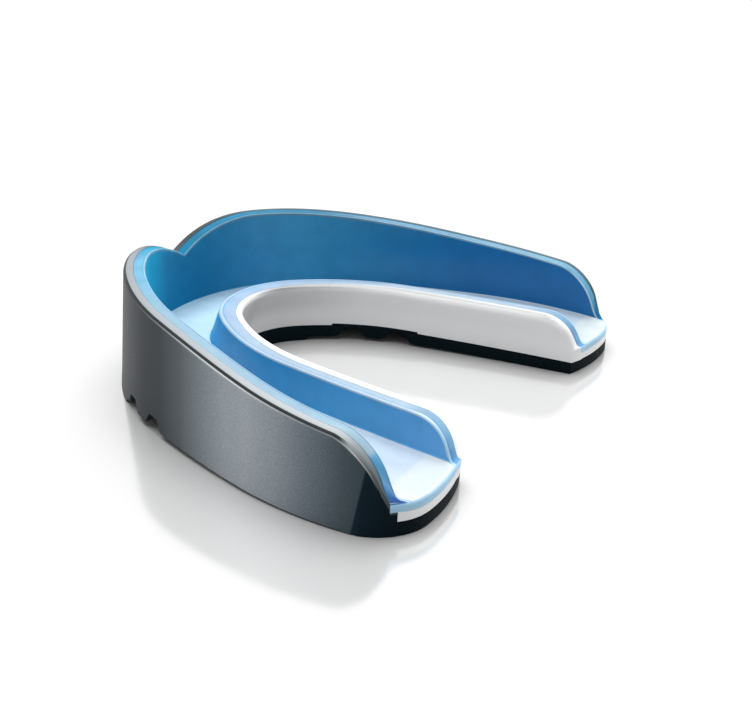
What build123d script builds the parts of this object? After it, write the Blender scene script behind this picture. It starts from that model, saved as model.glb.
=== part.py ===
from build123d import *
from math import radians, sin
import os

# Triple-layer mouthguard (boil-and-bite type), one fixed assembly of four moulded layers:
#   outer_shell  cheek-side wall, bite_sole  rubber sole with breathing channels,
#   core_frame   bite plate and palate-side wall, gel_liner  the channel that holds the teeth.
# Millimetres. The teeth point down into the channel from above, so the channel opens to +Z.
# Everything is drawn level in an arch frame: front of the arch at -Y, arms towards +Y,
# underside of the arms at z = 0. At the end it is set down on its front pad and its heels,
# with the origin under the centre of its bounding box.

# construction limits, beyond the part on every side
LOW_Z = -3.0
TOP_Z = 18.0
REACH = 60.0

# ---- driving dimensions -------------------------------------------------------------------
# cheek-side outline, half of it, from the front midpoint: (radius, sweep in degrees)
OUTER_FRONT_Y = -26.8
OUTER_ARCS = [(24.7, 45.7), (32.7, 22.6), (125.0, 7.4), (44.6, 26.0)]
# palate-side outline of the sole and plate
INNER_FRONT_Y = -12.9
INNER_ARCS = [(8.7, 47.0), (26.0, 33.0), (290.0, 4.0)]
# seam between the core frame's palate-side wall and the gel behind it
SEAM_FRONT_Y = -13.7
SEAM_ARCS = [(10.5, 47.0), (28.5, 34.0), (290.0, 4.0)]
TAIL = 12.0                    # straight run past the heels, trimmed off by the heel outline

# heel outline, seen from above
HEEL_INNER = (15.9, 25.5)      # sharp corner beside the tongue
HEEL_MIDDLE = (23.7, 26.8)
HEEL_OUTER = (31.5, 25.2)
HEEL_CORNER_R = 4.3

# layer thicknesses
SHELL_T = 1.15                 # outer shell wall
SHELL_BASE_T = 1.6             # the wall below the gel, which carries it on a ledge
LINER_CHEEK_T = 1.4            # gel on the cheek-side wall
PALATE_WALL_T = 3.1            # frame and gel together on the palate side
SOLE_T = 1.6
PLATE_T = 1.0
LINER_FLOOR_T = 0.9

# wall lean: shift of the outline per mm of height
CHEEK_DRAFT = 0.069            # towards the teeth
PALATE_LEAN = 0.15             # away from the teeth

# rim heights above the arms' underside, along the arch
CHEEK_RIM = [(-30.0, 14.25), (-21.0, 14.2), (-10.8, 13.4), (-3.3, 12.65), (6.5, 11.35), (18.7, 9.95)]
CHEEK_FALL = [(21.8, 8.2), (23.7, 5.2)]
CHEEK_FOOT = (25.4, 1.6)
PALATE_RIM_Z = 7.45
PALATE_TOP_Z = 8.5             # the leaning surfaces are drawn up to here
PALATE_FALL = [(21.0, 7.45), (23.6, 6.6), (25.0, 4.9)]
PALATE_FOOT = (26.4, 2.0)

# frenulum notch: two rounded lobes that meet in a V at the front midpoint
LOBE_R = 24.0
LOBE_X = 12.4                  # where a lobe is level
LOBE_TOP_Z = 14.25

# breathing channels across the sole, on each side: (outer end, inner end) on their centre lines
CHANNELS = [((21.9, -13.85), (10.6, -3.9)), ((24.7, -8.8), (12.6, 1.9))]
CHANNEL_W = 3.55               # at the underside
CHANNEL_TOP_W = 1.8
CHANNEL_H = 1.4
CHANNEL_OVERRUN = 5.0
BAND_LENGTH = 40.0             # right across the sole
BAND_RISE = 0.25               # the sole is this much thicker above the channels
BAND_MARGIN = 2.6              # from a channel's centre line to the edge of that thicker band

# front pad: the sole hangs lower ahead of this line, which has sloping ends
PAD_OUTER_END = (21.4, -16.6)
PAD_INNER_END = (7.0, -8.4)
PAD_FRONT = (30.0, -REACH)
PAD_DROP = 1.2                 # drawn deeper, and trimmed by the standing plane
PAD_SLOPE = 45.0

# how it stands
STAND_TILT = 0.95              # degrees, on the front pad and the heels
HEEL_FLAT = 0.05               # trimmed off the heels for a flat foot


# ---- outlines -----------------------------------------------------------------------------
def arch_face(front_y, arcs, inset):
    """Tongue-shaped face inside the arch outline, moved inwards by inset."""
    point, heading = Vector(0, front_y + inset), Vector(1, 0)
    half = []
    for radius, sweep in arcs:
        arc = JernArc(point, heading, radius - inset, sweep)
        half.append(arc)
        point, heading = arc @ 1, arc % 1
    half.append(Line(point, point + heading * TAIL))
    outline = half + [mirror(edge, Plane.YZ) for edge in half]
    end = half[-1] @ 1
    outline.append(Line(end, (-end.X, end.Y)))
    return make_face(Curve() + outline)


def arch_solid(front_y, arcs, inset, lean, low, high):
    """Solid inside the arch outline, whose sides lean inwards by lean per mm of height."""
    bottom = Pos(0, 0, low) * arch_face(front_y, arcs, inset + lean * low)
    top = Pos(0, 0, high) * arch_face(front_y, arcs, inset + lean * high)
    return loft([bottom, top], ruled=True)


def cheek_solid(inset):
    """Space inside the cheek-side surface, moved inwards by inset."""
    return arch_solid(OUTER_FRONT_Y, OUTER_ARCS, inset, CHEEK_DRAFT, LOW_Z, TOP_Z)


def palate_solid(front_y, arcs, growth=0.0):
    """Space beside the tongue: upright up to the plate, then leaning away from the teeth."""
    lower = arch_solid(front_y, arcs, -growth, 0.0, LOW_Z, SOLE_T)
    upper = arch_solid(front_y, arcs, -growth, PALATE_LEAN, 0.0, PALATE_TOP_Z - SOLE_T)
    return lower + Pos(0, 0, SOLE_T) * upper


def slab(low, high):
    return Pos(0, 0, (low + high) / 2) * Box(2 * REACH, 2 * REACH, high - low)


# ---- trims --------------------------------------------------------------------------------
def heel_trim():
    """Everything ahead of the heel outline."""
    near = ThreePointArc(HEEL_INNER, HEEL_MIDDLE, HEEL_OUTER)
    edges = [near, mirror(near, Plane.YZ), Line(HEEL_INNER, (-HEEL_INNER[0], HEEL_INNER[1]))]
    for side in (-1, 1):
        edges.append(Line((side * HEEL_OUTER[0], HEEL_OUTER[1]), (side * HEEL_OUTER[0], -REACH)))
    edges.append(Line((-HEEL_OUTER[0], -REACH), (HEEL_OUTER[0], -REACH)))
    ahead = make_face(Curve() + edges)
    footprint = ahead & arch_face(OUTER_FRONT_Y, OUTER_ARCS, CHEEK_DRAFT * LOW_Z)
    corners = [v for v in footprint.vertices() if v.Y > HEEL_INNER[1] and abs(v.X) > HEEL_MIDDLE[0]]
    footprint = fillet(corners, HEEL_CORNER_R)
    return extrude(Pos(0, 0, LOW_Z) * footprint, TOP_Z - LOW_Z)


def below_cheek_rim():
    """Everything below the cheek-side rim, its fall to the heel and the frenulum notch."""
    front, back = CHEEK_RIM[0], CHEEK_RIM[-1]
    outline = [
        Spline(CHEEK_RIM),
        ThreePointArc(back, *CHEEK_FALL),
        Line(CHEEK_FALL[-1], CHEEK_FOOT),
        Polyline(CHEEK_FOOT, (REACH, CHEEK_FOOT[1]), (REACH, LOW_Z), (front[0], LOW_Z), front),
    ]
    side_view = make_face(Curve() + outline)
    return extrude(Plane.YZ * side_view, REACH, both=True) - frenulum_notch()


def lobe_height(x):
    """Height of the rim's lobe at a distance x from the front midpoint."""
    return LOBE_TOP_Z - LOBE_R + (LOBE_R**2 - (LOBE_X - x) ** 2) ** 0.5


def frenulum_notch():
    lobe = ThreePointArc((0, lobe_height(0)), (LOBE_X / 2, lobe_height(LOBE_X / 2)), (LOBE_X, LOBE_TOP_Z))
    above = Polyline((LOBE_X, LOBE_TOP_Z), (LOBE_X, TOP_Z), (-LOBE_X, TOP_Z), (-LOBE_X, LOBE_TOP_Z))
    front_view = make_face(Curve() + [lobe, mirror(lobe, Plane.YZ), above])
    return extrude(Plane.XZ * front_view, REACH)


def below_palate_rim():
    """Everything below the palate-side rim and its fall to the heel."""
    outline = [
        Line((-REACH, PALATE_RIM_Z), PALATE_FALL[0]),
        ThreePointArc(*PALATE_FALL),
        Line(PALATE_FALL[-1], PALATE_FOOT),
        Polyline(PALATE_FOOT, (REACH, PALATE_FOOT[1]), (REACH, LOW_Z), (-REACH, LOW_Z)),
        Line((-REACH, LOW_Z), (-REACH, PALATE_RIM_Z)),
    ]
    return extrude(Plane.YZ * make_face(Curve() + outline), REACH, both=True)


# ---- sole features ------------------------------------------------------------------------
def channel_plane(outer_end, inner_end):
    """Plane across a channel at its outer end: x is the channel's width, y is up."""
    along = Vector(inner_end) - Vector(outer_end)
    return Plane(origin=Vector(outer_end), x_dir=(-along.Y, along.X, 0), z_dir=along)


def both_sides(solid):
    return solid + mirror(solid, Plane.YZ)


def channel_cut(outer_end, inner_end):
    slope = (CHANNEL_W - CHANNEL_TOP_W) / 2 / CHANNEL_H
    top = CHANNEL_TOP_W / 2
    mouth = CHANNEL_W / 2 - slope * LOW_Z
    section = Polygon((-mouth, LOW_Z), (mouth, LOW_Z), (top, CHANNEL_H), (-top, CHANNEL_H), align=None)
    length = (Vector(inner_end) - Vector(outer_end)).length + 2 * CHANNEL_OVERRUN
    across = channel_plane(outer_end, inner_end).offset(-CHANNEL_OVERRUN)
    return extrude(across * section, length)


def channel_band():
    """Diagonal stretch of the sole that is thicker, from ahead of the first channel to behind the last."""
    first, last = CHANNELS[0], CHANNELS[-1]
    plane = channel_plane(*first)
    reach = (plane.to_local_coords(Vector(last[1]))).X
    low, high = sorted((0.0, reach))
    section = Polygon(
        (low - BAND_MARGIN, SOLE_T), (high + BAND_MARGIN, SOLE_T),
        (high + BAND_MARGIN, SOLE_T + BAND_RISE), (low - BAND_MARGIN, SOLE_T + BAND_RISE), align=None
    )
    return extrude(plane.offset(-2 * CHANNEL_OVERRUN) * section, BAND_LENGTH)


def front_pad():
    middle = (0, PAD_INNER_END[1])
    outline = Polyline(middle, PAD_INNER_END, PAD_OUTER_END, PAD_FRONT, (0, PAD_FRONT[1]), middle)
    half = make_face(Curve() + [outline])
    return extrude(half + mirror(half, Plane.YZ), -PAD_DROP, taper=PAD_SLOPE)


# ---- the four layers ----------------------------------------------------------------------
heel = heel_trim()
cheek_limit = below_cheek_rim()
palate_limit = below_palate_rim()
liner_z = SOLE_T + PLATE_T
floor_z = liner_z + LINER_FLOOR_T
shell_outside = cheek_solid(0.0) & heel
shell_inside = (cheek_solid(SHELL_T) & slab(liner_z, TOP_Z)) + (cheek_solid(SHELL_BASE_T) & slab(LOW_Z, liner_z))
channels = both_sides(Part() + [channel_cut(*ends) for ends in CHANNELS])
band = both_sides(channel_band())
pad = front_pad()
palate_space = palate_solid(INNER_FRONT_Y, INNER_ARCS)
palate_and_frame = palate_solid(SEAM_FRONT_Y, SEAM_ARCS)
palate_and_wall = palate_solid(INNER_FRONT_Y, INNER_ARCS, PALATE_WALL_T)

underside = slab(0.0, TOP_Z) + pad
shell_region = (shell_outside - shell_inside) & cheek_limit & underside
outer_shell = shell_region - channels

inside_shell = shell_outside & shell_inside
sole_layer = slab(0.0, SOLE_T) + pad + band
bite_sole = (inside_shell & sole_layer) - palate_space - channels

plate_layer = slab(SOLE_T, SOLE_T + PLATE_T) - band
plate = (inside_shell & plate_layer) - palate_space
frame_wall = (palate_and_frame - palate_space) & heel & palate_limit
frame_wall = (frame_wall & slab(SOLE_T, TOP_Z)) - band
core_frame = plate + frame_wall

gel_space = (inside_shell & slab(liner_z, TOP_Z)) - palate_and_frame
cheek_gel = (gel_space - cheek_solid(SHELL_T + LINER_CHEEK_T)) & cheek_limit
palate_gel = (gel_space & palate_and_wall) & palate_limit
gel_floor = gel_space & slab(liner_z, floor_z)
gel_liner = cheek_gel + palate_gel + gel_floor

# ---- set down on the front pad and the heels ----------------------------------------------
def standing(solid):
    """Tilted so that the pad and the heels reach the ground, and trimmed flat there."""
    heel_z = -HEEL_MIDDLE[1] * sin(radians(STAND_TILT))
    raised = Pos(0, 0, -heel_z - HEEL_FLAT) * Rot(X=-STAND_TILT) * solid
    return raised & slab(0.0, TOP_Z)


layers = {
    "outer_shell": standing(outer_shell),
    "bite_sole": standing(bite_sole),
    "core_frame": standing(core_frame),
    "gel_liner": standing(gel_liner),
}
boxes = [solid.bounding_box() for solid in layers.values()]
centre_y = (min(box.min.Y for box in boxes) + max(box.max.Y for box in boxes)) / 2
os.makedirs("parts", exist_ok=True)
for name, solid in layers.items():
    placed = Pos(0, -centre_y, 0) * solid
    placed.label = name
    export_step(placed, f"parts/{name}.step")
    print(name, len(placed.solids()), round(placed.volume, 1), placed.is_valid)
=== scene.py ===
"""Looks of the layered mouthguard: satin shell, rubber sole, white core frame and blue gel liner."""

import math

import bmesh
import bpy
import numpy as np
from mathutils import Matrix, Vector


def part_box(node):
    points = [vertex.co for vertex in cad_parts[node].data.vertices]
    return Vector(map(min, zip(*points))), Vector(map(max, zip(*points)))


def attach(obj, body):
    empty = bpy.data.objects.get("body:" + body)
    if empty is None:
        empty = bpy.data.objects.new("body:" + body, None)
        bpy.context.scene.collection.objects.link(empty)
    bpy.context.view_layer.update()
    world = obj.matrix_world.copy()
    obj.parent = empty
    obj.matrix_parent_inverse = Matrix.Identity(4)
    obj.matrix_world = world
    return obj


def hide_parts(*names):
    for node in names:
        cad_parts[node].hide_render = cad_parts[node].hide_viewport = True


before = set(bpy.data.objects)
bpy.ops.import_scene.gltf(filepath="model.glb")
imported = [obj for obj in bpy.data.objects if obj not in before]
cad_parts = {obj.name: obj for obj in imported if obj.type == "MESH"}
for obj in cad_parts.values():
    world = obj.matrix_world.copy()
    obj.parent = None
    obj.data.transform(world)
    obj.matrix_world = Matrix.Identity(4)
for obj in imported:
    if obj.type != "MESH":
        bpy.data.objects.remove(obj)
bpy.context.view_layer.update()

# ---- dimensions, in millimetres, in the level arch frame of the CAD ------------------------
MM = 0.001
OUTER_FRONT_Y = -26.8
OUTER_ARCS = [(24.7, 45.7), (32.7, 22.6), (125.0, 7.4), (44.6, 26.0)]
INNER_FRONT_Y = -12.9
INNER_ARCS = [(8.7, 47.0), (26.0, 33.0), (290.0, 4.0)]
SEAM_FRONT_Y = -13.7           # seam between the frame's palate-side wall and the gel
SEAM_ARCS = [(10.5, 47.0), (28.5, 34.0), (290.0, 4.0)]

HEEL_INNER = (15.9, 25.5)
HEEL_MIDDLE = (23.7, 26.8)
HEEL_OUTER = (31.5, 25.2)
HEEL_CORNER_R = 4.3

SHELL_T = 1.15
SHELL_BASE_T = 1.6
LINER_CHEEK_T = 1.4
FRAME_WALL_T = 1.8
LINER_PALATE_T = 1.3
SOLE_Z = 1.6
PLATE_Z = 2.6
FLOOR_Z = 3.5
CHEEK_DRAFT = 0.069
PALATE_LEAN = 0.15

CHEEK_RIM = [(-30.0, 14.25), (-21.0, 14.2), (-10.8, 13.4), (-3.3, 12.65), (6.5, 11.35), (18.7, 9.95)]
CHEEK_FALL = [(21.8, 8.2), (23.7, 5.2)]
CHEEK_FOOT = (25.4, 1.6)
PALATE_RIM_Z = 7.45
PALATE_FALL = [(21.0, 7.45), (23.6, 6.6), (25.0, 4.9)]
PALATE_FOOT = (26.4, 2.0)
LOBE_R = 24.0
LOBE_X = 12.4
LOBE_TOP_Z = 14.25

CHANNELS = [((21.9, -13.85), (10.6, -3.9)), ((24.7, -8.8), (12.6, 1.9))]
CHANNEL_W = 3.55
CHANNEL_TOP_W = 1.8
CHANNEL_H = 1.4
CHANNEL_SECTION = ((-CHANNEL_W, 0), (-CHANNEL_TOP_W, CHANNEL_H), (CHANNEL_TOP_W, CHANNEL_H), (CHANNEL_W, 0))
BAND_RISE = 0.25
BAND_MARGIN = 2.6
PAD_OUTER_END = (21.4, -16.6)
PAD_INNER_END = (7.0, -8.4)
PAD_Z = -1.2
PAD_SLOPE_RUN = 0.9
STAND_TILT = 0.95
HEEL_FLAT = 0.05

# roundings, which only the visible pieces have
SEAM_R = 0.07                  # where two layers meet
GAP = 0.008                    # between faces of two layers that touch
RIM_BEVEL = (0.5, 0.42)        # shell's outer rim edge: across, down
GEL_RIM_R = 0.18
GROOVE_W = 0.12                # fine groove beside the gel rim's rounded edge
GROOVE_H = 0.04
FRONT_FLARE = 0.22             # extra lean of the palate-side gel's face at the front, fading along the arch
FLARE_LENGTH = 16.0
LOW_WALL = 0.3                 # where it is lower than this, the cheek-side gel counts as floor
GEL_FOOT_R = 0.35
GEL_PALATE_RIM_R = 0.22
GEL_HEEL_R = 0.38
FRAME_RIM_R = 1.2
FRAME_HEEL_R = 0.12
SOLE_HEEL_R = 0.18
CREASE = 0.07                  # half width of the chamfers on the sole's channels
SOLE_FOOT_R = 0.15
CORNER_INSETS = (SHELL_BASE_T + GAP, 1.8, 2.1, 2.5, 3.0, 3.6, HEEL_CORNER_R)
SLIVER = 0.03                  # thickness left where a tapering edge ends
WELD = 1e-6                    # metres
SHARP = math.radians(32)

# camera, in millimetres and degrees
CAMERA_PLACE = (108.2, 67.7, 58.0)
CAMERA_TURN = (119.67, 23.66, 1.16)
CAMERA_LENS = 52.85
BACKDROP_SIDE = (-0.87, -0.49, 0.0)
BACKDROP_FADE = (-0.35, 0.45)  # cosine of the angle to that side, from the room to the backdrop
ROOM_LEVEL = 0.3
BACKDROP_LEVEL = 1.3


# ---- outlines -----------------------------------------------------------------------------
class Arch:
    """Half of an arch outline, for x >= 0: tangent arcs from the front midpoint, then a straight tail."""

    def __init__(self, front_y, arcs):
        self.arcs = []
        point, heading, start = np.array([0.0, front_y]), 0.0, 0.0
        for radius, sweep in arcs:
            centre = point + radius * np.array([-math.sin(heading), math.cos(heading)])
            self.arcs.append((start, radius, heading, centre))
            heading += math.radians(sweep)
            start += radius * math.radians(sweep)
            point = centre + radius * np.array([math.sin(heading), -math.cos(heading)])
        self.tail = (start, point, heading)

    def at(self, s):
        """Points and outward normals at the distances s from the front midpoint."""
        s = np.asarray(s, float)
        start, point, heading = self.tail
        along = np.array([math.cos(heading), math.sin(heading)])
        points = point + (s - start)[..., None] * along
        normals = np.broadcast_to([along[1], -along[0]], points.shape).copy()
        for first, radius, begin, centre in reversed(self.arcs):
            angle = begin + (s - first) / radius
            normal = np.stack([np.sin(angle), -np.cos(angle)], -1)
            here = s < start
            points[here] = (centre + radius * normal)[here]
            normals[here] = normal[here]
            start = first
        return points, normals

    def moved(self, s, inset):
        points, normals = self.at(s)
        return points - np.asarray(inset, float)[..., None] * normals

    def crossing(self, point, direction):
        """Distance along the outline at which the line through point with that direction crosses it."""
        s = np.linspace(0, 80, 1601)
        rel = self.at(s)[0] - np.array(point)
        side = rel[:, 0] * direction[1] - rel[:, 1] * direction[0]
        k = np.nonzero(side[1:] * side[:-1] <= 0)[0][0]
        return s[k] + (s[k + 1] - s[k]) * side[k] / (side[k] - side[k + 1])


def circle_through(a, b, c):
    (ax, ay), (bx, by), (cx, cy) = a, b, c
    matrix = np.array([[bx - ax, by - ay], [cx - ax, cy - ay]]) * 2
    right = np.array([bx**2 - ax**2 + by**2 - ay**2, cx**2 - ax**2 + cy**2 - ay**2])
    centre = np.linalg.solve(matrix, right)
    return centre, math.hypot(ax - centre[0], ay - centre[1])


outer = Arch(OUTER_FRONT_Y, OUTER_ARCS)
inner = Arch(INNER_FRONT_Y, INNER_ARCS)
seam = Arch(SEAM_FRONT_Y, SEAM_ARCS)
HEEL_CENTRE, HEEL_ARC_R = circle_through(HEEL_INNER, HEEL_MIDDLE, HEEL_OUTER)


def heel_depth(points):
    """How far points lie inside the heel arc."""
    depth = HEEL_ARC_R - np.linalg.norm(points - HEEL_CENTRE, axis=-1)
    return np.where(points[..., 1] < HEEL_CENTRE[1], HEEL_ARC_R, depth)


def corner_depth(inset, edge):
    """Heel depth at which a line at that inset meets the rounded heel outline moved in by edge."""
    if inset >= HEEL_CORNER_R:
        return edge
    return HEEL_CORNER_R - math.sqrt(max((HEEL_CORNER_R - edge) ** 2 - (HEEL_CORNER_R - inset) ** 2, 0.0))


def line_end(arch, inset, depth):
    s = np.linspace(40, 80, 2001)
    return float(np.interp(-depth, -heel_depth(arch.moved(s, np.full(s.shape, inset))), s))


def corner_inset(s):
    """How far the rounded heel corner cuts in from the outer outline, at the distances s along it."""
    low, high = np.zeros(len(s)), np.full(len(s), HEEL_CORNER_R)
    for _ in range(40):
        middle = (low + high) / 2
        depth = np.minimum(heel_depth(outer.moved(s, middle)), HEEL_CORNER_R)
        outside = (HEEL_CORNER_R - middle) ** 2 + (HEEL_CORNER_R - depth) ** 2 > HEEL_CORNER_R**2
        low, high = np.where(outside, middle, low), np.where(outside, high, middle)
    return np.where(low < 1e-6, 0.0, low)


# ---- heights ------------------------------------------------------------------------------
def smooth_step(x):
    x = np.clip(x, 0, 1)
    return x * x * (3 - 2 * x)


def natural_spline(knots, y):
    """Natural cubic spline through the knots, as a height over y."""
    ky, kz = np.array(knots).T
    h, n = np.diff(ky), len(ky)
    system, right = np.eye(n), np.zeros(n)
    for i in range(1, n - 1):
        system[i, i - 1: i + 2] = h[i - 1], 2 * (h[i - 1] + h[i]), h[i]
        right[i] = 6 * ((kz[i + 1] - kz[i]) / h[i] - (kz[i] - kz[i - 1]) / h[i - 1])
    m = np.linalg.solve(system, right)
    i = np.clip(np.searchsorted(ky, y) - 1, 0, n - 2)
    a, b = ky[i + 1] - y, y - ky[i]
    return (m[i] * a**3 + m[i + 1] * b**3) / (6 * h[i]) + (kz[i] / h[i] - m[i] * h[i] / 6) * a + (
        kz[i + 1] / h[i] - m[i + 1] * h[i] / 6) * b


def fall_height(y, top, through, foot):
    """Height over y of the arc from top through two points, and of the line from there to foot."""
    centre, radius = circle_through(top, *through)
    arc = centre[1] + np.sqrt(np.maximum(radius**2 - (y - centre[0]) ** 2, 0))
    (y0, z0), (y1, z1) = through[1], foot
    return np.where(y < y0, arc, z0 + (y - y0) * (z1 - z0) / (y1 - y0))


def cheek_height(xy):
    x, y = np.abs(xy[..., 0]), xy[..., 1]
    top = CHEEK_RIM[-1]
    rim = np.where(y < top[0], natural_spline(CHEEK_RIM, y), fall_height(y, top, CHEEK_FALL, CHEEK_FOOT))
    lobe = LOBE_TOP_Z - LOBE_R + np.sqrt(LOBE_R**2 - np.clip(LOBE_X - x, 0, LOBE_X) ** 2)
    rim = np.where(x < LOBE_X, np.minimum(rim, lobe), rim)
    return np.maximum(rim, FLOOR_Z)


def palate_height(xy):
    y = xy[..., 1]
    fall = fall_height(y, PALATE_FALL[0], PALATE_FALL[1:], PALATE_FOOT)
    return np.maximum(np.where(y < PALATE_FALL[0][0], PALATE_RIM_Z, fall), FLOOR_Z)


# ---- stations: lines across the arch that every layer shares -------------------------------
def key_lines():
    """(distance on the outer outline, on the inner one, height of the sole's underside there)."""
    pad_outer, pad_inner = np.array(PAD_OUTER_END), np.array(PAD_INNER_END)
    along = (pad_inner - pad_outer) / np.linalg.norm(pad_inner - pad_outer)
    ahead = np.array([-along[1], along[0]])
    keys = []
    for shift, z in ((PAD_SLOPE_RUN, -PAD_SLOPE_RUN), (0.0, 0.0)):
        point = pad_outer + ahead * shift
        keys.append((outer.crossing(point, along), inner.crossing(point, along), z))
    for first, last in CHANNELS:
        axis = (np.array(last) - first) / np.linalg.norm(np.array(last) - first)
        across = np.array([axis[1], -axis[0]])
        for width, z in CHANNEL_SECTION:
            point = first + across * width / 2
            keys.append((outer.crossing(point, axis), inner.crossing(point, axis), z))
    return keys


def band_ends():
    """Distances on the inner outline where the thicker stretch of the sole begins and ends."""
    ends = []
    for (first, last), side in ((CHANNELS[0], -1), (CHANNELS[-1], 1)):
        axis = (np.array(last) - first) / np.linalg.norm(np.array(last) - first)
        across = np.array([axis[1], -axis[0]])
        ends.append(inner.crossing(first + across * BAND_MARGIN * side, axis))
    return ends


class Stations:
    """Matching distances along the two outlines, from the front midpoint to the heel."""

    OUTER_END = line_end(outer, SHELL_T, corner_depth(SHELL_T, 0))
    INNER_END = line_end(inner, 0, 0)

    def __init__(self):
        keys = key_lines()
        table = [(0.0, 0.0, PAD_Z), (keys[0][0] - 1.2, keys[0][1] - 0.9, PAD_Z)] + keys
        table += [(self.OUTER_END * 0.8, self.INNER_END * 0.77, 0.0), (self.OUTER_END, self.INNER_END, 0.0)]
        table = np.array(table)
        knots = [0.0]
        for a, b in zip(table[:-1, 0], table[1:, 0]):
            step = 0.28 if a > 50 or b < 12 else 0.45
            count = max(2, int(math.ceil((b - a) / step)))
            knots += list(np.linspace(a, b, count + 1)[1:])
        inner_of_outer = lambda o: np.interp(o, table[:, 0], table[:, 1])
        outer_of_inner = lambda i: np.interp(i, table[:, 1], table[:, 0])
        crisp = [key[0] for key in keys]
        knots = [k for k in knots if min(abs(k - c) for c in crisp) > 2 * CREASE]
        knots += [c + side * CREASE for c in crisp for side in (-1, 1)]
        for end in band_ends():
            knots += [float(outer_of_inner(end)) + side * 0.02 for side in (-1, 1)]
        self.outer = np.array(sorted(knots))
        self.inner = inner_of_outer(self.outer)
        self.underside = np.interp(self.outer, table[:, 0], table[:, 2])
        band = band_ends()
        self.band = (self.inner > band[0]) & (self.inner < band[1])


stations = Stations()


def stretched(distances, nominal_end, end):
    """The distances, with their last quarter stretched so that they finish at end."""
    return distances + (end - nominal_end) * smooth_step((distances / nominal_end - 0.72) / 0.28)


def cheek_distances(inset, edge):
    end = line_end(outer, inset, corner_depth(inset, edge))
    return stretched(stations.outer, Stations.OUTER_END, end)


def palate_distances(growth, edge):
    return stretched(stations.inner, Stations.INNER_END, line_end(inner, -growth, edge))


def shared(growth, distances):
    """Distance from the inner outline at which a line of the palate-side wall runs.

    The frame takes less of the wall's thickness at the front than on the arms.
    """
    line = seam.at(np.linspace(0, 70, 1401))[0]
    points = inner.at(distances)[0]
    frame_t = np.minimum(np.linalg.norm(points[:, None] - line, axis=-1).min(1), FRAME_WALL_T)
    whole = FRAME_WALL_T + LINER_PALATE_T
    in_gel = frame_t + (growth - FRAME_WALL_T) * (whole - frame_t) / LINER_PALATE_T
    in_frame = growth * frame_t / FRAME_WALL_T
    return np.where(growth <= FRAME_WALL_T, in_frame, np.where(growth < whole, in_gel, growth))


# ---- building a layer ---------------------------------------------------------------------
RIM, GROOVE, RIM_EDGE, WALL, FLOOR = 1.0, 1.5, 2.0, 3.0, 4.0     # zones of a surface, for its material
FRAME_SEAM = 1.2


class Layer:
    """Closed slab made of lines that run along half of the arch, from the front round the heel's edge."""

    def __init__(self, heel_radius, low, heel_foot_radius=0.0, steps=5):
        angles = np.linspace(0, math.pi / 2, steps + 1)[1:]
        self.turns = [(1 - math.sin(a), 1 - math.cos(a)) for a in angles]
        self.heel_radius, self.foot_radius, self.low = heel_radius, heel_foot_radius, low
        self.cheek, self.palate = [], []
        self.cheek_low, self.palate_low = [], []
        self.cheek_zones, self.palate_zones = [], []

    def add_cheek(self, inset, height, zone=0.0):
        """Adds a line at an inset from the outer outline; height(plan, distances) gives its z."""
        def row(distances, drop, rule):
            z = rule(outer.moved(distances, np.full(distances.shape, inset)), distances) - drop
            return np.column_stack([outer.moved(distances, inset + CHEEK_DRAFT * z), z])

        def line(radius, sign, rule):
            rows = [row(cheek_distances(inset, self.heel_radius), 0.0, rule)]
            for edge, drop in self.turns:
                end = cheek_distances(inset, self.heel_radius * edge)
                rows.append(row(end, sign * radius * drop, rule)[-1:])
            return np.vstack(rows)

        self.cheek.append(line(self.heel_radius, 1, height))
        self.cheek_low.append(line(self.foot_radius, -1, self.low))
        self.cheek_zones.append(zone)

    def add_palate(self, growth, height, zone=0.0):
        """Adds a line at a distance from the inner outline, towards the teeth, as measured on the arms."""
        def row(distances, drop, rule):
            shift = shared(growth, distances)
            z = rule(inner.moved(distances, -shift), distances) - drop
            lean = PALATE_LEAN * np.maximum(z - SOLE_Z, 0)
            if growth >= FRAME_WALL_T + LINER_PALATE_T:
                lean = lean - FRONT_FLARE * (1 - smooth_step(distances / FLARE_LENGTH)) * (PALATE_RIM_Z - z)
            return np.column_stack([inner.moved(distances, lean - shift), z])

        def line(radius, sign, rule):
            rows = [row(palate_distances(growth, self.heel_radius), 0.0, rule)]
            for edge, drop in self.turns:
                end = palate_distances(growth, self.heel_radius * edge)
                rows.append(row(end, sign * radius * drop, rule)[-1:])
            return np.vstack(rows)

        self.palate.append(line(self.heel_radius, 1, height))
        self.palate_low.append(line(self.foot_radius, -1, self.low))
        self.palate_zones.append(zone)

    def between(self, first, last, count):
        """Lines spread between two others, whose ends follow the heel arc."""
        rows = len(stations.outer)
        hold = smooth_step((stations.outer / Stations.OUTER_END - 0.8) / 0.2)
        edges = [self.heel_radius * edge for edge, _ in self.turns]
        lines = []
        for w in np.linspace(0, 1, count + 2)[1:-1]:
            line = first * (1 - w) + last * w
            depth = heel_depth(line[:, :2])
            shift = np.concatenate([hold * (depth[rows - 1] - self.heel_radius), depth[rows:] - edges])
            away = line[:, :2] - HEEL_CENTRE
            line[:, :2] += away / np.linalg.norm(away, axis=1)[:, None] * shift[:, None]
            lines.append(line)
        return lines

    def mesh(self, name, count=12):
        """Joins the lines into a slab, whose zone and bank attributes say what each line belongs to."""
        top = self.cheek + self.between(self.cheek[-1], self.palate[0], count) + self.palate
        middle_low = self.between(self.cheek_low[-1], self.palate_low[0], count)
        bottom = self.cheek_low + middle_low + self.palate_low
        middle = list(np.linspace(self.cheek_zones[-1], self.palate_zones[0], count + 2)[1:-1])
        bank = [0.0] * len(self.cheek) + list(np.linspace(0, 1, count + 2)[1:-1]) + [1.0] * len(self.palate)
        return slab(name, top, bottom, {"zone": self.cheek_zones + middle + self.palate_zones, "bank": bank})


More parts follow.
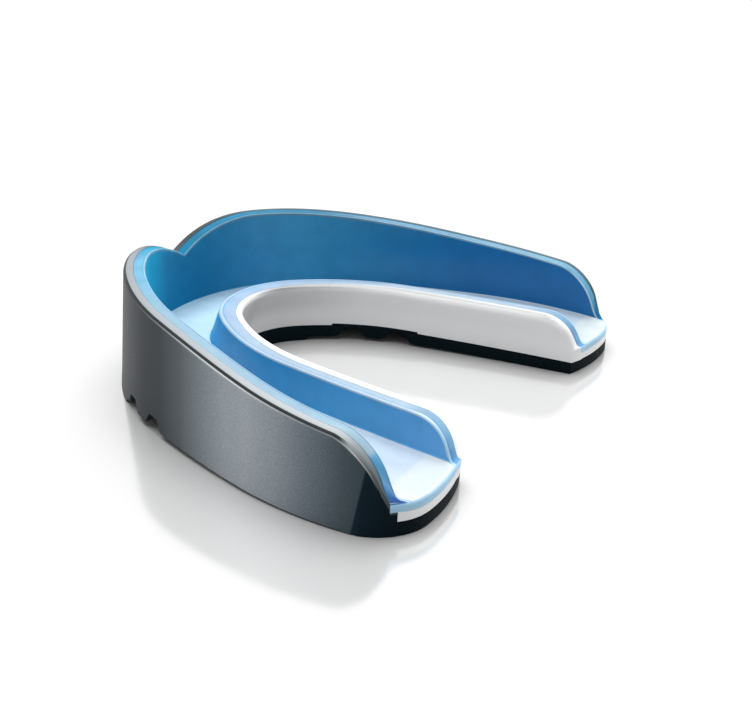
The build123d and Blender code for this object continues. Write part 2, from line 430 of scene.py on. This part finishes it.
def slab(name, top, bottom, marks=None):
    """Mirrors two half grids, closes them round the edge, and stands them on the ground."""
    grids = []
    for half in (np.stack(top, 1), np.stack(bottom, 1)):
        other = half[::-1].copy()
        other[..., 0] *= -1
        grids.append(np.concatenate([other[:-1], half]))
    rows, lines = grids[0].shape[:2]
    over = np.arange(rows * lines).reshape(rows, lines)
    under = over + rows * lines
    faces = []
    for k in range(rows - 1):
        for j in range(lines - 1):
            faces.append((over[k, j], over[k + 1, j], over[k + 1, j + 1], over[k, j + 1]))
            faces.append((under[k, j], under[k, j + 1], under[k + 1, j + 1], under[k + 1, j]))
        faces.append((over[k, 0], under[k, 0], under[k + 1, 0], over[k + 1, 0]))
        faces.append((over[k, -1], over[k + 1, -1], under[k + 1, -1], under[k, -1]))
    for j in range(lines - 1):
        faces.append((over[0, j], over[0, j + 1], under[0, j + 1], under[0, j]))
        faces.append((over[-1, j], under[-1, j], under[-1, j + 1], over[-1, j + 1]))
    points = standing(np.concatenate([grid.reshape(-1, 3) for grid in grids]))
    spread = {}
    for mark, values in (marks or {}).items():
        half = np.stack([np.broadcast_to(value, len(top[0])) for value in values], 1)
        spread[mark] = np.tile(np.concatenate([half[::-1][:-1], half]).ravel(), 2)
    return make_piece(name, points, faces, spread)


def standing(points):
    """From the level arch frame to the part's frame, in metres."""
    tilt = math.radians(STAND_TILT)
    x, y, z = points.T
    along = y * math.cos(tilt) + z * math.sin(tilt)
    stood = np.column_stack([x, along, z * math.cos(tilt) - y * math.sin(tilt)])
    stood[:, 2] += HEEL_MIDDLE[1] * math.sin(tilt) - HEEL_FLAT
    stood[:, 2] = np.maximum(stood[:, 2], 0)
    heel_y = HEEL_MIDDLE[1] * math.cos(tilt) + SOLE_Z * math.sin(tilt)
    stood[:, 1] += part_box("bite_sole")[1].y / MM - heel_y
    return stood * MM


def make_piece(name, points, faces, marks):
    mesh = bpy.data.meshes.new(name)
    mesh.from_pydata([tuple(p) for p in points], [], [tuple(int(i) for i in f) for f in faces])
    for mark, values in marks.items():
        mesh.attributes.new(mark, "FLOAT", "POINT").data.foreach_set("value", values)
    bm = bmesh.new()
    bm.from_mesh(mesh)
    bmesh.ops.remove_doubles(bm, verts=bm.verts, dist=WELD)
    bmesh.ops.dissolve_degenerate(bm, edges=bm.edges, dist=WELD / 10)
    bmesh.ops.recalc_face_normals(bm, faces=bm.faces)
    for face in bm.faces:
        face.smooth = True
    for edge in bm.edges:
        edge.smooth = len(edge.link_faces) == 2 and edge.calc_face_angle(0) < SHARP
    bm.to_mesh(mesh)
    bm.free()
    piece = bpy.data.objects.new(name, mesh)
    bpy.context.scene.collection.objects.link(piece)
    return piece


def quarter(count):
    """(sine, 1 - cosine) of the angles of a quarter turn."""
    return [(math.sin(a), 1 - math.cos(a)) for a in np.linspace(0, math.pi / 2, count + 1)]


def level(z):
    """A height rule: the same z all along the line."""
    return lambda plan, distances: np.full(len(distances), z)


def steepness(height, distances):
    """Stretch of a rounding's depth where the rim slopes along its line."""
    if len(distances) < 3:
        return 1.0
    return np.sqrt(1 + np.clip(np.gradient(height, distances), -2, 2) ** 2)


class Wall:
    """Height rules of a gel wall: its rim, its face and the fillet at its foot."""

    def __init__(self, rim_height, rim_r, foot_r):
        self.rim_height, self.rim_r, self.foot_r = rim_height, rim_r, foot_r

    def share(self, top):
        return np.clip((top - FLOOR_Z) / (self.rim_r + self.foot_r), 0, 1)

    def rim(self, drop):
        def height(plan, distances):
            top = self.rim_height(plan)
            return np.maximum(top - drop * self.share(top) * steepness(top, distances), FLOOR_Z)
        return height

    def foot(self, rise):
        def height(plan, distances):
            return FLOOR_Z + rise * self.share(self.rim_height(plan))
        return height

    def face(self, part):
        def height(plan, distances):
            high, low = self.rim(self.rim_r)(plan, distances), self.foot(self.foot_r)(plan, distances)
            return low + (np.maximum(high, low) - low) * part
        return height

    def lines(self, outside, inside):
        """(offset, height rule, zone) of the lines from the wall's seam over its rim to the floor."""
        spec = [(outside, self.rim(SEAM_R), RIM), (outside + SEAM_R * 0.3, self.rim(SEAM_R * 0.3), RIM)]
        spec.append((outside + SEAM_R, self.rim(0.0), RIM))
        edge = inside - self.rim_r
        spec += [(edge - GROOVE_W * 1.4, self.rim(0.0), RIM), (edge - GROOVE_W, self.rim(GROOVE_H), GROOVE),
                 (edge - GROOVE_W * 0.4, self.rim(GROOVE_H), GROOVE)]
        for across, down in quarter(6):
            spec.append((edge + self.rim_r * across, self.rim(self.rim_r * down), RIM_EDGE))
        for part in (0.97, 0.8, 0.6, 0.4, 0.2):
            spec.append((inside, self.face(part), WALL))
        for across, down in quarter(6):
            zone = WALL if across < 0.5 else FLOOR
            spec.append((inside + self.foot_r * down, self.foot(self.foot_r * (1 - across)), zone))
        return spec


# ---- the four pieces ----------------------------------------------------------------------
def build_liner():
    layer = Layer(GEL_HEEL_R, level(PLATE_Z + GAP))
    wall = Wall(cheek_height, GEL_RIM_R, GEL_FOOT_R)
    for inset, rule, zone in wall.lines(SHELL_T + GAP, SHELL_T + LINER_CHEEK_T):
        layer.add_cheek(inset, rule, zone)
    for inset in (3.0, 3.4, 3.8, HEEL_CORNER_R):
        layer.add_cheek(inset, level(FLOOR_Z), FLOOR)
    wall = Wall(palate_height, GEL_PALATE_RIM_R, GEL_FOOT_R)
    for growth, rule, zone in reversed(wall.lines(FRAME_WALL_T + GAP, FRAME_WALL_T + LINER_PALATE_T)):
        layer.add_palate(growth, rule, zone)
    height = np.max([line[:, 2] for line in layer.cheek], axis=0) - FLOOR_Z
    layer.cheek_zones = [np.where(height < LOW_WALL, FLOOR, zone) for zone in layer.cheek_zones]
    return layer.mesh("gel_liner_channel")


def sole_top(plan, distances):
    """Top of the sole, thicker over the breathing channels."""
    z = np.full(len(distances), SOLE_Z)
    if len(distances) == len(stations.band):
        z = z + BAND_RISE * stations.band
    return z


def build_frame():
    layer = Layer(FRAME_HEEL_R, lambda plan, distances: sole_top(plan, distances) + GAP)
    for inset in CORNER_INSETS:
        layer.add_cheek(inset, level(PLATE_Z))

    def rim(drop):
        def height(plan, distances):
            top = palate_height(plan)
            share = np.clip((top - PLATE_Z) / (2 * FRAME_RIM_R), 0, 1)
            return top - drop * share * steepness(top, distances)
        return height

    def face(part):
        def height(plan, distances):
            low = sole_top(plan, distances) + GAP
            high = np.maximum(rim(FRAME_RIM_R)(plan, distances), low + 0.1)
            return low + (high - low) * part
        return height

    layer.add_palate(FRAME_WALL_T + SEAM_R, level(PLATE_Z))
    layer.add_palate(FRAME_WALL_T, level(PLATE_Z))
    layer.add_palate(FRAME_WALL_T, rim(SEAM_R), FRAME_SEAM)
    layer.add_palate(FRAME_WALL_T - SEAM_R * 0.3, rim(SEAM_R * 0.3), FRAME_SEAM)
    for k, (across, down) in enumerate(quarter(10)):
        layer.add_palate(FRAME_RIM_R * (1 - across), rim(FRAME_RIM_R * down), RIM * (1 - k / 10))
    for part in (0.8, 0.6, 0.4, 0.2, 0.04):
        layer.add_palate(0.0, face(part))
    return layer.mesh("core_frame_moulding")


def underside(plan, distances):
    """Underside of the shell and sole: the front pad, the breathing channels and the level arms."""
    if len(distances) < len(stations.underside):
        return np.zeros(len(distances))
    extra = len(distances) - len(stations.underside)
    return np.concatenate([stations.underside, np.zeros(extra)])


def build_sole():
    layer = Layer(SOLE_HEEL_R, underside, SOLE_HEEL_R)
    for inset in CORNER_INSETS:
        layer.add_cheek(inset, sole_top)
    layer.add_palate(SEAM_R, sole_top)
    layer.add_palate(0.0, lambda plan, distances: sole_top(plan, distances) - SEAM_R)
    layer.add_palate(0.0, lambda plan, distances: underside(plan, distances) + SOLE_FOOT_R)
    layer.palate_low[-1] = layer.palate_low[-2]
    return layer.mesh("bite_sole_rubber")


FOOT_EDGE = 0.1                # small chamfer round the foot of the shell
FACE_PARTS = (0.15, 0.3, 0.45, 0.6, 0.75, 0.9, 0.97)            # lines up the shell's face
# lines over the bevel: share of its height, share of its width, zone
BEVEL_LINES = ((0.0, 0.0, 0.5), (0.17, 0.03, 1.0), (0.35, 0.12, 1.5),
               (0.5, 0.25, 2.0), (0.75, 0.5, 2.0), (0.9, 0.75, 3.0))
LEDGE_ROWS = 5                 # rows of the shell behind its wall, where only its ledge is left


def build_shell():
    """The cheek-side wall. Its lines never lie outside the rounded heel corner, where it tapers away."""
    upper_end = Stations.OUTER_END - SLIVER
    lower_end = line_end(outer, SHELL_BASE_T, corner_depth(SHELL_BASE_T, 0)) - SLIVER
    ledge = np.linspace(upper_end + SLIVER, lower_end, LEDGE_ROWS)
    distances = np.concatenate([stations.outer[:-1], [upper_end], ledge])
    cut = corner_inset(distances)
    ledge_only = distances > upper_end + SLIVER / 2
    rim = np.where(ledge_only, PLATE_Z, cheek_height(outer.moved(distances, np.maximum(cut, 0.5))))
    low = underside(None, distances)
    slope = steepness(rim, distances)
    slope[-LEDGE_ROWS - 2:] = slope[-LEDGE_ROWS - 3]

    def line(inset, z):
        return np.column_stack([outer.moved(distances, np.maximum(inset, cut) + CHEEK_DRAFT * z), z])

    across, down = RIM_BEVEL
    bevel_z = np.maximum(rim - down * np.clip((rim - low) / 3, 0, 1) * slope, PLATE_Z * 0.9)
    bevel_z = np.minimum(bevel_z, rim)
    top = [line(FOOT_EDGE, low), line(0.0, low + FOOT_EDGE)]
    for part in FACE_PARTS:
        top.append(line(0.0, low + FOOT_EDGE + (bevel_z - low - FOOT_EDGE) * part))
    marks = [0.0] * len(top)
    for part, shift, mark in BEVEL_LINES:
        top.append(line(across * shift, bevel_z + (rim - bevel_z) * part))
        marks.append(mark)
    for inset in (across, across + 0.05, (across + SHELL_T) / 2, SHELL_T - SEAM_R):
        top.append(line(inset, rim))
        marks.append(3.0)
    top.append(line(SHELL_T - SEAM_R * 0.3, np.maximum(rim - SEAM_R * 0.3, PLATE_Z)))
    top.append(line(SHELL_T, np.maximum(rim - SEAM_R, PLATE_Z)))
    top.append(line(SHELL_T, np.full(len(distances), PLATE_Z)))
    top.append(line(SHELL_BASE_T, np.full(len(distances), PLATE_Z)))
    marks += [3.0] * 4
    shares = np.arange(len(top)) / (len(top) - 1)
    bottom = [line(max(FOOT_EDGE, SHELL_BASE_T * share), low) for share in shares]
    return slab("outer_shell_wall", top, bottom, {"zone": marks})


pieces = {
    "gel_liner": build_liner(),
    "core_frame": build_frame(),
    "bite_sole": build_sole(),
    "outer_shell": build_shell(),
}
for node, piece in pieces.items():
    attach(piece, "root")
    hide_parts(node)


# ---- materials ----------------------------------------------------------------------------
# colours along the part: (y in millimetres, linear colour)
# the gel walls' deep blue, made lighter and darker along the arch by painted light: lighter near the front
# as a painted reflection, where the walls are seen at a grazing angle
GEL_CHEEK_WALL = [(-24, (0.014, 0.20, 0.38)), (-20, (0.075, 0.33, 0.56)), (-16, (0.08, 0.365, 0.59)),
                  (-6, (0.018, 0.23, 0.46)), (-1, (0.008, 0.195, 0.44)), (6, (0.003, 0.158, 0.405)),
                  (20, (0.001, 0.147, 0.39))]
GEL_PALATE_WALL = [(-15, (0.003, 0.30, 0.62)), (-8, (0.005, 0.185, 0.42)), (0, (0.024, 0.255, 0.51)),
                   (8, (0.058, 0.325, 0.605)), (16, (0.088, 0.375, 0.665)), (23, (0.12, 0.40, 0.76))]
# painted light on the gel rims: pale where they face up, deeper blue where they fall at the heel, and the
# right cheek-side rim lighter than the left
GEL_RIGHT_RIM_PAINTED_LIGHT = [(-25, (0.01, 0.17, 0.31)), (-23.5, (0.015, 0.20, 0.36)), (-22.3, (0.05, 0.24, 0.38)),
                 (-20, (0.14, 0.33, 0.47)), (-6, (0.205, 0.345, 0.445)), (18, (0.20, 0.335, 0.435)),
                 (21.0, (0.27, 0.41, 0.50)), (22.0, (0.27, 0.41, 0.50)), (22.3, (0.065, 0.30, 0.53)),
                 (24.0, (0.04, 0.20, 0.42)), (24.8, (0.04, 0.13, 0.42))]
GEL_LEFT_RIM_PAINTED_LIGHT = [(-25, (0.02, 0.15, 0.26)), (-22.3, (0.035, 0.18, 0.31)), (-17.3, (0.045, 0.165, 0.26)),
                (-9.8, (0.035, 0.165, 0.28)), (-0.8, (0.05, 0.20, 0.33)), (4.8, (0.05, 0.20, 0.33)),
                (10, (0.09, 0.26, 0.38)), (16, (0.085, 0.26, 0.37)), (18.8, (0.08, 0.27, 0.39)),
                (20.7, (0.055, 0.25, 0.41)), (22.6, (0.012, 0.235, 0.42)), (24.8, (0.01, 0.18, 0.36))]
GEL_PALATE_RIM_PAINTED_LIGHT = [(-15, (0.29, 0.40, 0.54)), (-7, (0.28, 0.38, 0.50)), (4, (0.285, 0.37, 0.46)),
                  (19.0, (0.27, 0.365, 0.46)), (21.7, (0.17, 0.29, 0.42)), (24.0, (0.15, 0.33, 0.51)),
                  (25.5, (0.08, 0.28, 0.55))]
# share of the painted highlight along the gel rims' rounded inner edge, stronger on the heel falls
GEL_EDGE_HIGHLIGHT = [(-30, 0.15), (20, 0.2), (22, 0.6), (25, 0.5)]
# painted light: the gel floor made pale as lit from above, greyer on the heel
GEL_FLOOR_PAINTED_LIGHT = [(-24, (0.41, 0.60, 0.71)), (-14, (0.42, 0.58, 0.69)), (-8, (0.49, 0.65, 0.73)),
             (18, (0.44, 0.52, 0.60)), (22.7, (0.44, 0.52, 0.60)), (23.0, (0.52, 0.57, 0.58)),
             (26, (0.52, 0.57, 0.58))]
GEL_HEEL_BAND = (0.36, 0.60, 0.80)
# painted reflection: pale cyan on the front of the right cheek-side wall, where it is seen at a grazing
# angle
GEL_PAINTED_REFLECTION = (0.012, 0.42, 0.66)
# painted shade: the white face made grey toward the curved front of the palate-side wall
FRAME_FACE = [(-13, (0.68, 0.69, 0.70)), (-6, (0.80, 0.805, 0.81)), (-2, (0.84, 0.85, 0.855)),
              (4, (0.84, 0.85, 0.855)), (25, (0.86, 0.865, 0.87))]
FRAME_SHADE = [(-12, 0.74), (-6, 0.84), (-2, 0.92), (25, 0.94)]
# painted light across the frame's rounded rim, by zone: lightest at the seam as a painted highlight, painted
# shade down the rounding
FRAME_ROUND_SHADING = [(0.0, 1.0), (0.2, 0.98), (0.4, 0.97), (0.5, 0.82), (0.6, 0.62), (0.7, 0.46), (0.8, 0.37),
               (1.0, 0.58), (1.2, 0.85)]
# painted reflection on the satin face: lighter along the middle of each side, darker toward the front and
# the heel
SHELL_PAINTED_REFLECTION = [(-27, (0.03, 0.037, 0.043)), (-17, (0.03, 0.037, 0.043)), (-11, (0.012, 0.018, 0.024)),
              (-7, (0.02, 0.03, 0.038)), (-3, (0.075, 0.09, 0.105)), (0.5, (0.17, 0.20, 0.22)),
              (4.5, (0.29, 0.325, 0.355)), (8, (0.33, 0.365, 0.395)), (12, (0.26, 0.295, 0.325)),
              (16, (0.14, 0.17, 0.20)), (20, (0.055, 0.08, 0.095)), (23, (0.025, 0.045, 0.06))]
# painted shade on the shell's heel, where its face turns away from the light
SHELL_HEEL_SHADE = [(20.5, (0.012, 0.028, 0.042)), (22, (0.004, 0.014, 0.024)), (24, (0.001, 0.008, 0.013)),
              (26, (0.001, 0.006, 0.010))]
# painted reflection of the light above on the shell's rim top: light on the right side, dark on the left
SHELL_RIGHT_RIM_REFLECTION = [(-25.5, (0.05, 0.07, 0.09)), (-23.5, (0.12, 0.14, 0.16)), (-21.5, (0.22, 0.24, 0.26)),
                   (-8, (0.27, 0.30, 0.32)), (0, (0.30, 0.33, 0.35)), (8, (0.35, 0.38, 0.40)),
                   (19.5, (0.36, 0.39, 0.41)), (21.8, (0.19, 0.215, 0.23)), (23.2, (0.12, 0.14, 0.15)),
                   (25, (0.05, 0.065, 0.075))]
SHELL_LEFT_RIM_REFLECTION = [(-25, (0.02, 0.03, 0.035)), (-20, (0.05, 0.10, 0.13)), (25, (0.06, 0.11, 0.14))]
# painted dark reflection on the bevel of the shell's rim
SHELL_BEVEL_DARK_REFLECTION = (0.010, 0.014, 0.016)
# share of the painted highlight along the lower edge of the shell's rim bevel
SHELL_EDGE_HIGHLIGHT = [(-14, 0.0), (-10, 0.1), (-5, 0.3), (0, 0.75), (6, 0.8), (9, 0.4), (12, 0.25), (16, 0.12),
              (19, 0.2), (21.3, 0.7), (22.5, 0.5), (23.5, 0.0)]

# where one look gives way to another: (from, to)
SIDES = (-3.0, 1.0)            # the left and right rims, across the front, in millimetres
BANKS = (0.3, 0.7)             # the cheek and palate sides of the gel, on its bank mark
HEEL_SHADE = (21.0, 21.3)      # the shell's face and its dark heel, in millimetres
GRAIN = (0.3, 0.7)             # the part of a noise that is used
FLOOR_GREY = (0.53, 0.53, 0.53, 1)
FLOOR_IOR = 2.8


class Paint:
    """A material under construction: a Principled shader and the nodes that feed it."""

    def __init__(self, name, **sockets):
        self.material = bpy.data.materials.new(name)
        self.material.use_nodes = True
        self.tree = self.material.node_tree
        self.shader = self.tree.nodes["Principled BSDF"]
        for socket, value in sockets.items():
            self.shader.inputs[socket.replace("_", " ")].default_value = value

    def node(self, kind, inputs=(), **settings):
        made = self.tree.nodes.new(kind)
        for setting, value in settings.items():
            setattr(made, setting, value)
        for socket, value in dict(inputs).items():
            if isinstance(value, bpy.types.NodeSocket):
                self.tree.links.new(value, made.inputs[socket])
            else:
                made.inputs[socket].default_value = value
        return made

    def part(self, axis):
        """One component of the position, in millimetres."""
        split = self.node("ShaderNodeSeparateXYZ", {0: self.node("ShaderNodeTexCoord").outputs["Object"]})
        return self.math("MULTIPLY", split.outputs[axis], 1 / MM)

    def math(self, operation, a, b=0.0):
        return self.node("ShaderNodeMath", {0: a, 1: b}, operation=operation).outputs[0]

    def step(self, value, low, high, out_low=0.0, out_high=1.0, linear=False):
        """Change from out_low to out_high while value goes from low to high."""
        span = {"Value": value, "From Min": low, "From Max": high, "To Min": out_low, "To Max": out_high}
        kind = "LINEAR" if linear else "SMOOTHSTEP"
        return self.node("ShaderNodeMapRange", span, interpolation_type=kind).outputs["Result"]

    def noise(self, size, detail=2.0):
        """Noise between 0 and 1 whose grains have this size in millimetres."""
        place = self.node("ShaderNodeTexCoord").outputs["Object"]
        inputs = {"Vector": place, "Scale": 1 / (size * MM), "Detail": detail}
        return self.node("ShaderNodeTexNoise", inputs).outputs["Fac"]

    def mark(self, name):
        return self.node("ShaderNodeAttribute", attribute_name=name).outputs["Fac"]

    def ramp(self, value, stops):
        """Colours, or greys, at given values in ascending order."""
        low, high = stops[0][0], stops[-1][0]
        made = self.node("ShaderNodeValToRGB", {"Fac": self.step(value, low, high, linear=True)})
        elements = made.color_ramp.elements
        for k, (at, colour) in enumerate(stops):
            element = elements[k] if k < 2 else elements.new(1.0)
            element.position = (at - low) / (high - low)
            element.color = (*colour, 1) if isinstance(colour, tuple) else (colour, colour, colour, 1)
        return made.outputs["Color"]

    def mix(self, factor, a, b, blend="MIX"):
        made = self.tree.nodes.new("ShaderNodeMix")
        made.data_type, made.blend_type = "RGBA", blend
        for socket, value in ((made.inputs["Factor"], factor), (made.inputs[6], a), (made.inputs[7], b)):
            if isinstance(value, bpy.types.NodeSocket):
                self.tree.links.new(value, socket)
            else:
                socket.default_value = (*value, 1) if isinstance(value, tuple) else value
        return made.outputs[2]

    def bump(self, height, depth, strength=1.0):
        """Bump from a height between 0 and 1; depth in millimetres."""
        made = self.node("ShaderNodeBump", {"Height": height, "Distance": depth * MM, "Strength": strength})
        self.tree.links.new(made.outputs["Normal"], self.shader.inputs["Normal"])

    def feed(self, socket, value):
        self.tree.links.new(value, self.shader.inputs[socket])


def gel_paint():
    """Soft translucent gel: deep blue on its walls, with painted light making its rims and floor pale."""
    paint = Paint("blue_gel", Subsurface_Weight=0.08, Subsurface_Scale=0.5 * MM, Coat_Roughness=0.2,
                  Sheen_Roughness=0.35, Sheen_Tint=(0.2, 0.7, 1.0, 1.0))
    paint.shader.inputs["Subsurface Radius"].default_value = (0.4, 0.8, 1.0)
    zone, bank = paint.mark("zone"), paint.mark("bank")
    x, y, z = paint.part("X"), paint.part("Y"), paint.part("Z")
    # painted reflection of the pale floor on the front of the right cheek-side wall
    painted_reflection = paint.math("MULTIPLY", paint.step(x, 2.0, 12.0), paint.step(y, -16.0, -22.0))
    wall = paint.mix(painted_reflection, paint.ramp(y, GEL_CHEEK_WALL), GEL_PAINTED_REFLECTION)
    wall = paint.mix(paint.step(bank, *BANKS), wall, paint.ramp(y, GEL_PALATE_WALL))
    # painted light: the right and left cheek-side rims get different ramps
    cheek_rim = paint.mix(paint.step(x, *SIDES), paint.ramp(y, GEL_LEFT_RIM_PAINTED_LIGHT), paint.ramp(y, GEL_RIGHT_RIM_PAINTED_LIGHT))
    rim = paint.mix(paint.step(bank, *BANKS), cheek_rim, paint.ramp(y, GEL_PALATE_RIM_PAINTED_LIGHT))
    # painted shade in the fine groove beside the rim's edge
    groove = paint.mix(0.45, rim, wall)
    # painted highlight along the rims' rounded inner edge
    edge = paint.mix(paint.ramp(y, GEL_EDGE_HIGHLIGHT), rim, (0.75, 0.92, 1.0))
    colour = paint.mix(paint.step(zone, 1.1, 1.4), rim, groove)
    colour = paint.mix(paint.step(zone, 1.6, 1.9), colour, edge)
    colour = paint.mix(paint.step(zone, 2.3, 2.7), colour, wall)
    # painted light on the gel floor
    colour = paint.mix(paint.step(zone, 3.3, 3.7), colour, paint.ramp(y, GEL_FLOOR_PAINTED_LIGHT))
    colour = paint.mix(paint.step(z, 3.34, 3.42), GEL_HEEL_BAND, colour)
    cloud = paint.step(paint.noise(2.5), 0.35, 0.65, 0.95, 1.03)
    grey = paint.node("ShaderNodeCombineColor", {0: cloud, 1: cloud, 2: cloud}).outputs[0]
    paint.feed("Base Color", paint.mix(1.0, colour, grey, "MULTIPLY"))
    paint.feed("Specular IOR Level", paint.step(y, -15.0, -4.0, 0.0, 0.35))
    paint.feed("Coat Weight", paint.step(y, -14.0, -4.0, 0.0, 0.15))
    paint.feed("Sheen Weight", paint.step(y, -14.0, -4.0, 0.1, 0.5))
    paint.feed("Roughness", paint.step(paint.noise(0.5), *GRAIN, 0.28, 0.38))
    paint.bump(paint.noise(0.25, 2.0), 0.004)
    return paint.material


def frame_paint():
    """Glossy white moulding, with painted shade toward the front and over its rounded rim, and painted light
    on its right rim.
    """
    paint = Paint("white_moulding", Coat_Weight=0.3, Coat_Roughness=0.1)
    x, y, z, zone = paint.part("X"), paint.part("Y"), paint.part("Z"), paint.mark("zone")
    # painted shade: the white face made grey toward the front
    face = paint.ramp(y, FRAME_FACE)
    shaded = paint.mix(1.0, face, paint.ramp(y, FRAME_SHADE), "MULTIPLY")
    face = paint.mix(paint.step(z, 3.4, 6.0), face, shaded)
    # painted highlight and shade across the rounded rim, left out on the heel fall
    share = paint.mix(paint.step(y, 21.5, 24.0), paint.ramp(zone, FRAME_ROUND_SHADING), (1.0, 1.0, 1.0))
    colour = paint.mix(1.0, face, share, "MULTIPLY")
    # painted light: the rim on the right side made lighter than on the left
    bright = paint.math("MULTIPLY", paint.step(x, -5.0, 3.0), paint.step(zone, 0.25, 0.5))
    paint.feed("Base Color", paint.mix(bright, colour, (0.93, 0.93, 0.94)))
    paint.feed("Roughness", paint.step(paint.noise(0.4), *GRAIN, 0.25, 0.27))
    paint.bump(paint.noise(4.0, 0.0), 0.004)
    return paint.material


def sole_paint():
    """Matt rubber, almost black."""
    paint = Paint("black_rubber", Specular_IOR_Level=0.06)
    grain = paint.noise(0.3, 3.0)
    paint.feed("Base Color", paint.mix(grain, (0.0005, 0.004, 0.007), (0.0015, 0.009, 0.014)))
    paint.feed("Roughness", paint.step(paint.noise(0.6), *GRAIN, 0.52, 0.62))
    paint.bump(grain, 0.012)
    return paint.material


def shell_paint():
    """Satin grey with a fine flake and a painted reflection along its face, painted shade on its heel; a
    bevel painted dark with a painted highlight on its lower edge, and a rim painted light as a reflection.
    """
    paint = Paint("satin_shell")
    y, z, zone = paint.part("Y"), paint.part("Z"), paint.mark("zone")
    flake = paint.noise(0.13, 4.0)
    # painted reflection along the shell's face
    face = paint.ramp(y, SHELL_PAINTED_REFLECTION)
    slant = paint.math("ADD", y, paint.math("MULTIPLY", z, -0.17))
    # painted shade on the heel, past a slanted line
    face = paint.mix(paint.step(slant, *HEEL_SHADE), face, paint.ramp(y, SHELL_HEEL_SHADE))
    bright = paint.mix(1.0, face, (1.35, 1.35, 1.35), "MULTIPLY")
    face = paint.mix(paint.step(flake, 0.35, 0.65), face, bright)
    side = paint.step(paint.part("X"), *SIDES)
    # painted reflection on the rim top, different on the two sides
    rim = paint.mix(side, paint.ramp(y, SHELL_LEFT_RIM_REFLECTION), paint.ramp(y, SHELL_RIGHT_RIM_REFLECTION))
    # painted highlight along the bevel's lower edge
    line = paint.mix(paint.ramp(y, SHELL_EDGE_HIGHLIGHT), face, (0.95, 0.96, 0.97))
    # painted dark reflection on the bevel, giving way to the rim's colour on the heel fall
    dark = paint.mix(paint.step(y, 19.3, 20.8), SHELL_BEVEL_DARK_REFLECTION, rim)
    colour = paint.mix(paint.step(zone, 0.2, 1.0), face, line)
    colour = paint.mix(paint.step(zone, 1.05, 1.75), colour, dark)
    colour = paint.mix(paint.step(zone, 2.4, 2.6), colour, rim)
    paint.feed("Base Color", colour)
    paint.feed("Specular IOR Level", paint.step(slant, *HEEL_SHADE, 0.2, 0.06))
    paint.feed("Roughness", paint.step(flake, *GRAIN, 0.42, 0.55))
    paint.bump(flake, 0.006)
    return paint.material


def floor_paint():
    paint = Paint("floor_white", IOR=FLOOR_IOR, Base_Color=FLOOR_GREY)
    paint.feed("Roughness", paint.step(paint.noise(20.0), *GRAIN, 0.1, 0.14))
    return paint.material


for node, paint in (("gel_liner", gel_paint), ("core_frame", frame_paint), ("bite_sole", sole_paint),
                    ("outer_shell", shell_paint)):
    pieces[node].data.materials.append(paint())


# ---- stage, lights and camera -------------------------------------------------------------
def build_floor():
    bpy.ops.mesh.primitive_grid_add(x_subdivisions=2, y_subdivisions=2, size=3.0, location=(0, 0, -0.00002))
    floor = bpy.context.object
    floor.name = "pale_floor"
    floor.data.materials.append(floor_paint())


def softbox(name, place, aim, size, power):
    light = bpy.data.lights.new(name, "AREA")
    light.shape = "RECTANGLE"
    light.size, light.size_y = size
    light.energy = power
    lamp = bpy.data.objects.new(name, light)
    lamp.location = place
    lamp.rotation_euler = (Vector(aim) - Vector(place)).to_track_quat("-Z", "Y").to_euler()
    bpy.context.scene.collection.objects.link(lamp)


def build_world():
    """White backdrop behind the object, and a dimmer room on the camera's side."""
    world = bpy.data.worlds.new("studio")
    world.use_nodes = True
    tree = world.node_tree
    direction = tree.nodes.new("ShaderNodeTexCoord").outputs["Generated"]
    towards = tree.nodes.new("ShaderNodeVectorMath")
    towards.operation = "DOT_PRODUCT"
    towards.inputs[1].default_value = BACKDROP_SIDE
    tree.links.new(direction, towards.inputs[0])
    spread = tree.nodes.new("ShaderNodeMapRange")
    spread.interpolation_type = "SMOOTHSTEP"
    span = (*BACKDROP_FADE, ROOM_LEVEL, BACKDROP_LEVEL)
    for socket, value in zip(("From Min", "From Max", "To Min", "To Max"), span):
        spread.inputs[socket].default_value = value
    tree.links.new(towards.outputs["Value"], spread.inputs["Value"])
    tree.links.new(spread.outputs["Result"], tree.nodes["Background"].inputs["Strength"])
    tree.nodes["Background"].inputs["Color"].default_value = (1, 1, 1, 1)
    bpy.context.scene.world = world


def build_camera():
    azimuth, elevation, roll = (math.radians(a) for a in CAMERA_TURN)
    flat = math.cos(elevation)
    back = Vector((math.sin(azimuth) * flat, -math.cos(azimuth) * flat, math.sin(elevation)))
    right = Vector((math.cos(azimuth), math.sin(azimuth), 0))
    up = back.cross(right)
    turned = right * math.cos(roll) + up * math.sin(roll)
    up = back.cross(turned)
    data = bpy.data.cameras.new("camera")
    data.lens = CAMERA_LENS
    data.clip_start = 0.005
    camera = bpy.data.objects.new("camera", data)
    facing = Matrix((turned, up, back)).transposed().to_4x4()
    camera.matrix_world = Matrix.Translation(Vector(CAMERA_PLACE) * MM) @ facing
    bpy.context.scene.collection.objects.link(camera)
    bpy.context.scene.camera = camera


build_floor()
build_world()
softbox("top_softbox", (-0.05, -0.05, 0.45), (0, 0, 0), (0.45, 0.45), 3.0)
build_camera()
bpy.context.scene.view_settings.view_transform = "Standard"
